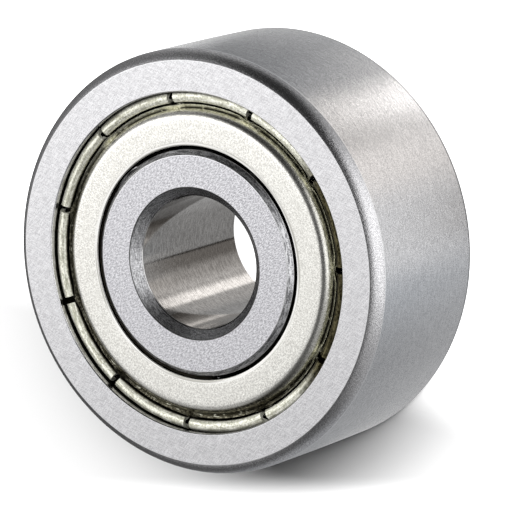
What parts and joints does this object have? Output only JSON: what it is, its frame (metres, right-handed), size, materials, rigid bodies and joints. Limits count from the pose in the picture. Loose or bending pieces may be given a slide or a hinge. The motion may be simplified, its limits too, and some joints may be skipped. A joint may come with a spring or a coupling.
{
  "type": "track roller bearing",
  "caption": "Shielded double-row ball track roller with a thick crowned outer ring that turns on an inner ring with a plain bore.",
  "frame": {"origin": "on the axis of the bore, half way along it", "axes": "+Z along the bore out of the end face that the picture shows, which is up as the roller stands on its other end; +X through one of the slots in the upper shield's rim"},
  "size_m": [0.032, 0.032, 0.014],
  "materials": {
    "ring_steel": "hardened bearing steel, faces, bore and running surface ground bright, with fine grinding marks",
    "ball_steel": "hardened bearing steel balls, lapped to a mirror",
    "shield_steel": "cold-rolled steel sheet, pressed and curled, thinly plated, slightly warm",
    "cage_polyamide": "moulded glass-filled polyamide, natural cream colour, semi-matt"
  },
  "bodies": {
    "hub": {"inner_ring": "ring_steel"},
    "roller": {"outer_ring": "ring_steel", "upper_shield": "shield_steel", "lower_shield": "shield_steel"},
    "upper_cage": {"upper_cage": "cage_polyamide"},
    "lower_cage": {"lower_cage": "cage_polyamide"},
    "upper_ball_1": {"upper_ball_1": "ball_steel"},
    "upper_ball_2": {"upper_ball_2": "ball_steel"},
    "upper_ball_3": {"upper_ball_3": "ball_steel"},
    "upper_ball_4": {"upper_ball_4": "ball_steel"},
    "upper_ball_5": {"upper_ball_5": "ball_steel"},
    "upper_ball_6": {"upper_ball_6": "ball_steel"},
    "upper_ball_7": {"upper_ball_7": "ball_steel"},
    "upper_ball_8": {"upper_ball_8": "ball_steel"},
    "lower_ball_1": {"lower_ball_1": "ball_steel"},
    "lower_ball_2": {"lower_ball_2": "ball_steel"},
    "lower_ball_3": {"lower_ball_3": "ball_steel"},
    "lower_ball_4": {"lower_ball_4": "ball_steel"},
    "lower_ball_5": {"lower_ball_5": "ball_steel"},
    "lower_ball_6": {"lower_ball_6": "ball_steel"},
    "lower_ball_7": {"lower_ball_7": "ball_steel"},
    "lower_ball_8": {"lower_ball_8": "ball_steel"}
  },
  "joints": [
    {"name": "roller_turn", "type": "hinge", "parent": "hub", "child": "roller", "pos_m": [0, 0, 0], "axis": [0, 0, 1], "continuous": true},
    {"name": "upper_cage_turn", "type": "hinge", "parent": "hub", "child": "upper_cage", "pos_m": [0, 0, 0], "axis": [0, 0, 1], "continuous": true},
    {"name": "lower_cage_turn", "type": "hinge", "parent": "hub", "child": "lower_cage", "pos_m": [0, 0, 0], "axis": [0, 0, 1], "continuous": true},
    {"name": "upper_ball_1_roll", "type": "hinge", "parent": "upper_cage", "child": "upper_ball_1", "pos_m": [0.01, 0, 0.0031], "axis": [0.4226, 0, 0.9063], "continuous": true},
    {"name": "upper_ball_2_roll", "type": "hinge", "parent": "upper_cage", "child": "upper_ball_2", "pos_m": [0.00707, 0.00707, 0.0031], "axis": [0.2988, 0.2988, 0.9063], "continuous": true},
    {"name": "upper_ball_3_roll", "type": "hinge", "parent": "upper_cage", "child": "upper_ball_3", "pos_m": [0, 0.01, 0.0031], "axis": [0, 0.4226, 0.9063], "continuous": true},
    {"name": "upper_ball_4_roll", "type": "hinge", "parent": "upper_cage", "child": "upper_ball_4", "pos_m": [-0.00707, 0.00707, 0.0031], "axis": [-0.2988, 0.2988, 0.9063], "continuous": true},
    {"name": "upper_ball_5_roll", "type": "hinge", "parent": "upper_cage", "child": "upper_ball_5", "pos_m": [-0.01, 0, 0.0031], "axis": [-0.4226, 0, 0.9063], "continuous": true},
    {"name": "upper_ball_6_roll", "type": "hinge", "parent": "upper_cage", "child": "upper_ball_6", "pos_m": [-0.00707, -0.00707, 0.0031], "axis": [-0.2988, -0.2988, 0.9063], "continuous": true},
    {"name": "upper_ball_7_roll", "type": "hinge", "parent": "upper_cage", "child": "upper_ball_7", "pos_m": [0, -0.01, 0.0031], "axis": [0, -0.4226, 0.9063], "continuous": true},
    {"name": "upper_ball_8_roll", "type": "hinge", "parent": "upper_cage", "child": "upper_ball_8", "pos_m": [0.00707, -0.00707, 0.0031], "axis": [0.2988, -0.2988, 0.9063], "continuous": true},
    {"name": "lower_ball_1_roll", "type": "hinge", "parent": "lower_cage", "child": "lower_ball_1", "pos_m": [0.00924, 0.00383, -0.0031], "axis": [-0.3904, -0.1617, 0.9063], "continuous": true},
    {"name": "lower_ball_2_roll", "type": "hinge", "parent": "lower_cage", "child": "lower_ball_2", "pos_m": [0.00383, 0.00924, -0.0031], "axis": [-0.1617, -0.3904, 0.9063], "continuous": true},
    {"name": "lower_ball_3_roll", "type": "hinge", "parent": "lower_cage", "child": "lower_ball_3", "pos_m": [-0.00383, 0.00924, -0.0031], "axis": [0.1617, -0.3904, 0.9063], "continuous": true},
    {"name": "lower_ball_4_roll", "type": "hinge", "parent": "lower_cage", "child": "lower_ball_4", "pos_m": [-0.00924, 0.00383, -0.0031], "axis": [0.3904, -0.1617, 0.9063], "continuous": true},
    {"name": "lower_ball_5_roll", "type": "hinge", "parent": "lower_cage", "child": "lower_ball_5", "pos_m": [-0.00924, -0.00383, -0.0031], "axis": [0.3904, 0.1617, 0.9063], "continuous": true},
    {"name": "lower_ball_6_roll", "type": "hinge", "parent": "lower_cage", "child": "lower_ball_6", "pos_m": [-0.00383, -0.00924, -0.0031], "axis": [0.1617, 0.3904, 0.9063], "continuous": true},
    {"name": "lower_ball_7_roll", "type": "hinge", "parent": "lower_cage", "child": "lower_ball_7", "pos_m": [0.00383, -0.00924, -0.0031], "axis": [-0.1617, 0.3904, 0.9063], "continuous": true},
    {"name": "lower_ball_8_roll", "type": "hinge", "parent": "lower_cage", "child": "lower_ball_8", "pos_m": [0.00924, -0.00383, -0.0031], "axis": [-0.3904, 0.1617, 0.9063], "continuous": true}
  ],
  "couplings": [
    {"joint": "upper_cage_turn", "follows": "roller_turn", "ratio": 0.60791},
    {"joint": "lower_cage_turn", "follows": "roller_turn", "ratio": 0.60791},
    {"joint": "upper_ball_1_roll", "follows": "roller_turn", "ratio": 2.0019},
    {"joint": "upper_ball_2_roll", "follows": "roller_turn", "ratio": 2.0019},
    {"joint": "upper_ball_3_roll", "follows": "roller_turn", "ratio": 2.0019},
    {"joint": "upper_ball_4_roll", "follows": "roller_turn", "ratio": 2.0019},
    {"joint": "upper_ball_5_roll", "follows": "roller_turn", "ratio": 2.0019},
    {"joint": "upper_ball_6_roll", "follows": "roller_turn", "ratio": 2.0019},
    {"joint": "upper_ball_7_roll", "follows": "roller_turn", "ratio": 2.0019},
    {"joint": "upper_ball_8_roll", "follows": "roller_turn", "ratio": 2.0019},
    {"joint": "lower_ball_1_roll", "follows": "roller_turn", "ratio": 2.0019},
    {"joint": "lower_ball_2_roll", "follows": "roller_turn", "ratio": 2.0019},
    {"joint": "lower_ball_3_roll", "follows": "roller_turn", "ratio": 2.0019},
    {"joint": "lower_ball_4_roll", "follows": "roller_turn", "ratio": 2.0019},
    {"joint": "lower_ball_5_roll", "follows": "roller_turn", "ratio": 2.0019},
    {"joint": "lower_ball_6_roll", "follows": "roller_turn", "ratio": 2.0019},
    {"joint": "lower_ball_7_roll", "follows": "roller_turn", "ratio": 2.0019},
    {"joint": "lower_ball_8_roll", "follows": "roller_turn", "ratio": 2.0019}
  ]
}
